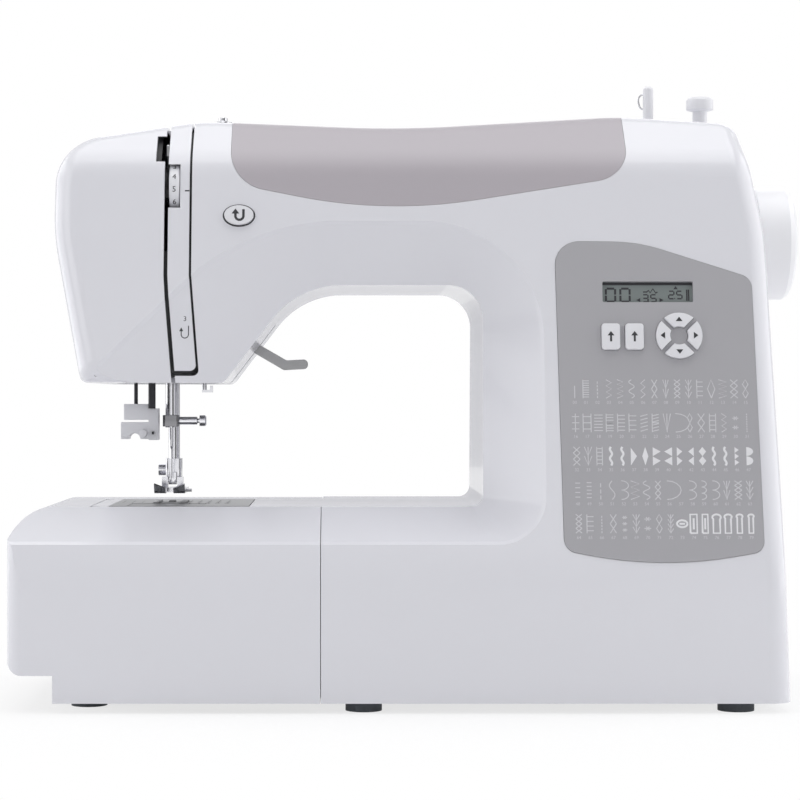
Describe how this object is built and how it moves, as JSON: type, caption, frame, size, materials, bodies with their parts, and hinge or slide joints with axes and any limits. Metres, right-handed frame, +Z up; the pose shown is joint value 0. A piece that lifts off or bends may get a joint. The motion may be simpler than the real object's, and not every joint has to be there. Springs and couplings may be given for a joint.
{
  "type": "sewing machine",
  "caption": "Household sewing machine with a leaning control tower, arm and needle head over a bed with a slide-off extension table, handwheel on the right.",
  "frame": {"origin": "bottom centre of the whole machine, on the plane its feet stand on", "axes": "+X to the right from the needle towards the handwheel, -Y towards the person sewing, +Z up"},
  "size_m": [0.4, 0.17, 0.3184],
  "materials": {
    "white_gloss": "glossy white moulding",
    "white_parts": "white moulding",
    "band_grey": "satin warm grey",
    "panel_grey": "satin grey",
    "lever_grey": "satin grey",
    "black_plastic": "black",
    "display": "green-grey display",
    "board_green": "board lacquer",
    "rubber": "dark grey rubber",
    "plate_steel": "brushed plate",
    "clear_cover": "smoked clear plastic",
    "steel": "machined steel",
    "bright_steel": "plated",
    "dark_steel": "blackened steel",
    "bobbin_plastic": "clear-white plastic",
    "pulley_plastic": "nylon",
    "cast_frame": "die cast"
  },
  "bodies": {
    "machine": {"front_cover": "white_gloss", "rear_cover": "white_gloss", "face_cover": "white_gloss", "thread_strip": "white_gloss", "thread_channel": "black_plastic", "arm_band": "band_grey", "control_panel": "panel_grey", "lcd_display": "display", "circuit_board": "board_green", "base_tray": "white_gloss", "feet": "rubber", "free_arm_cover": "white_gloss", "needle_plate": "plate_steel", "bobbin_case": "steel", "timing_belt": "black_plastic", "drive_belt": "black_plastic", "motor": "steel", "main_frame": "cast_frame", "spool_pin": "white_parts", "winder_stop": "white_parts", "thread_guide": "bright_steel", "power_inlet": "black_plastic"},
    "arm_shaft": {"arm_shaft": "steel", "shaft_pulleys": "pulley_plastic", "needle_crank": "steel", "handwheel": "white_gloss"},
    "motor_rotor": {"motor_pulley": "black_plastic"},
    "lower_shaft": {"lower_shaft": "steel"},
    "hook": {"rotary_hook": "steel"},
    "connecting_rod": {"connecting_rod": "steel"},
    "bobbin": {"bobbin": "bobbin_plastic"},
    "needle_cradle": {"needle_bar_cradle": "steel"},
    "needle_bar": {"needle_bar": "bright_steel", "needle_clamp": "bright_steel", "needle_clamp_screw": "bright_steel", "needle": "bright_steel"},
    "take_up": {"take_up_lever": "steel"},
    "lifter": {"lifter_lever": "lever_grey"},
    "presser": {"presser_bar": "bright_steel", "foot_holder": "bright_steel", "foot_screw": "bright_steel"},
    "foot": {"presser_foot": "bright_steel"},
    "threader": {"needle_threader": "white_parts", "threader_rods": "dark_steel"},
    "buttonhole_lever": {"buttonhole_lever": "bright_steel"},
    "tension_dial": {"tension_dial": "white_parts"},
    "reverse_button": {"reverse_button": "white_parts"},
    "left_button": {"left_button": "white_parts"},
    "right_button": {"right_button": "white_parts"},
    "key_up": {"key_up": "white_parts"},
    "key_down": {"key_down": "white_parts"},
    "key_left": {"key_left": "white_parts"},
    "key_right": {"key_right": "white_parts"},
    "winder_carriage": {"winder_carriage": "white_parts"},
    "winder_spindle": {"winder_spindle": "white_parts"},
    "handle": {"handle": "white_gloss"},
    "extension_table": {"extension_table": "white_gloss"},
    "bobbin_cover": {"bobbin_cover": "clear_cover"},
    "feed": {"feed_dog": "steel"},
    "power_switch": {"power_switch": "black_plastic"}
  },
  "joints": [
    {"name": "handwheel_spin", "type": "hinge", "parent": "machine", "child": "arm_shaft", "pos_m": [0, 0.005, 0.235], "axis": [1, 0, 0], "continuous": true},
    {"name": "motor_spin", "type": "hinge", "parent": "machine", "child": "motor_rotor", "pos_m": [0.13, 0.027, 0.05], "axis": [1, 0, 0], "continuous": true},
    {"name": "lower_shaft_spin", "type": "hinge", "parent": "machine", "child": "lower_shaft", "pos_m": [0, 0.015, 0.062], "axis": [1, 0, 0], "continuous": true},
    {"name": "hook_spin", "type": "hinge", "parent": "machine", "child": "hook", "pos_m": [-0.1255, -0.012, 0.08], "axis": [0, 0, 1], "continuous": true},
    {"name": "connecting_rod_pivot", "type": "hinge", "parent": "arm_shaft", "child": "connecting_rod", "pos_m": [-0.113, 0.005, 0.25], "axis": [1, 0, 0], "continuous": true},
    {"name": "bobbin_spin", "type": "hinge", "parent": "machine", "child": "bobbin", "pos_m": [-0.1255, -0.012, 0.085], "axis": [0, 0, 1], "continuous": true},
    {"name": "needle_swing", "type": "hinge", "parent": "machine", "child": "needle_cradle", "pos_m": [-0.1255, 0.005, 0.266], "axis": [0, 1, 0], "range_deg": [-0.6, 0.6]},
    {"name": "needle_bar_slide", "type": "slide", "parent": "needle_cradle", "child": "needle_bar", "axis": [0, 0, -1], "range_m": [0, 0.0295]},
    {"name": "take_up_swing", "type": "hinge", "parent": "machine", "child": "take_up", "pos_m": [-0.1235, -0.009, 0.246], "axis": [1, 0, 0], "range_deg": [0, 55]},
    {"name": "lifter_swing", "type": "hinge", "parent": "machine", "child": "lifter", "pos_m": [-0.136, 0.031, 0.192], "axis": [0, 1, 0], "range_deg": [-8, 27]},
    {"name": "presser_slide", "type": "slide", "parent": "machine", "child": "presser", "axis": [0, 0, -1], "range_m": [-0.001, 0.0035]},
    {"name": "foot_tilt", "type": "hinge", "parent": "presser", "child": "foot", "pos_m": [-0.1255, 0.015, 0.1102], "axis": [-1, 0, 0], "range_deg": [-5, 5]},
    {"name": "threader_slide", "type": "slide", "parent": "machine", "child": "threader", "axis": [0, 0, -1], "range_m": [0, 0.02], "stiffness_N_per_m": 60, "springref_m": -0.006},
    {"name": "buttonhole_lever_slide", "type": "slide", "parent": "machine", "child": "buttonhole_lever", "axis": [0, 0, -1], "range_m": [0, 0.018]},
    {"name": "tension_dial_turn", "type": "hinge", "parent": "machine", "child": "tension_dial", "pos_m": [-0.1197, -0.04265, 0.2591], "axis": [1, 0, 0], "range_deg": [-140, 140]},
    {"name": "reverse_press", "type": "slide", "parent": "machine", "child": "reverse_button", "axis": [0, 0.9877, -0.1564], "range_m": [0, 0.002], "stiffness_N_per_m": 400, "springref_m": -0.001},
    {"name": "left_button_press", "type": "slide", "parent": "machine", "child": "left_button", "axis": [0, 0.9877, -0.1564], "range_m": [0, 0.001], "stiffness_N_per_m": 400, "springref_m": -0.001},
    {"name": "right_button_press", "type": "slide", "parent": "machine", "child": "right_button", "axis": [0, 0.9877, -0.1564], "range_m": [0, 0.001], "stiffness_N_per_m": 400, "springref_m": -0.001},
    {"name": "key_up_press", "type": "slide", "parent": "machine", "child": "key_up", "axis": [0, 0.9877, -0.1564], "range_m": [0, 0.001], "stiffness_N_per_m": 400, "springref_m": -0.001},
    {"name": "key_down_press", "type": "slide", "parent": "machine", "child": "key_down", "axis": [0, 0.9877, -0.1564], "range_m": [0, 0.001], "stiffness_N_per_m": 400, "springref_m": -0.001},
    {"name": "key_left_press", "type": "slide", "parent": "machine", "child": "key_left", "axis": [0, 0.9877, -0.1564], "range_m": [0, 0.001], "stiffness_N_per_m": 400, "springref_m": -0.001},
    {"name": "key_right_press", "type": "slide", "parent": "machine", "child": "key_right", "axis": [0, 0.9877, -0.1564], "range_m": [0, 0.001], "stiffness_N_per_m": 400, "springref_m": -0.001},
    {"name": "winder_shift", "type": "slide", "parent": "machine", "child": "winder_carriage", "axis": [1, 0, 0], "range_m": [0, 0.009]},
    {"name": "winder_spin", "type": "hinge", "parent": "winder_carriage", "child": "winder_spindle", "pos_m": [0.126, 0.01, 0.3], "axis": [0, 0, 1], "continuous": true},
    {"name": "handle_swing", "type": "hinge", "parent": "machine", "child": "handle", "pos_m": [0, 0.07123, 0.27511], "axis": [1, 0, 0], "range_deg": [0, 165]},
    {"name": "table_slide", "type": "slide", "parent": "machine", "child": "extension_table", "axis": [-1, 0, 0], "range_m": [0, 0.17]},
    {"name": "bobbin_cover_lift", "type": "slide", "parent": "machine", "child": "bobbin_cover", "axis": [0, 0, 1], "range_m": [0, 0.025]},
    {"name": "feed_slide", "type": "slide", "parent": "machine", "child": "feed", "axis": [0, 1, 0], "range_m": [-0.0023, 0.0023]},
    {"name": "power_switch_rock", "type": "hinge", "parent": "machine", "child": "power_switch", "pos_m": [0.1786, 0.029, 0.049], "axis": [0, 1, 0], "range_deg": [-7, 7]}
  ],
  "couplings": [
    {"joint": "motor_spin", "follows": "handwheel_spin", "ratio": 3.7143},
    {"joint": "lower_shaft_spin", "follows": "handwheel_spin", "ratio": 1},
    {"joint": "hook_spin", "follows": "handwheel_spin", "ratio": 2},
    {"joint": "connecting_rod_pivot", "follows": "handwheel_spin", "ratio": -1},
    {"joint": "lifter_swing", "follows": "presser_slide", "rad_per_m": 134.5}
  ]
}
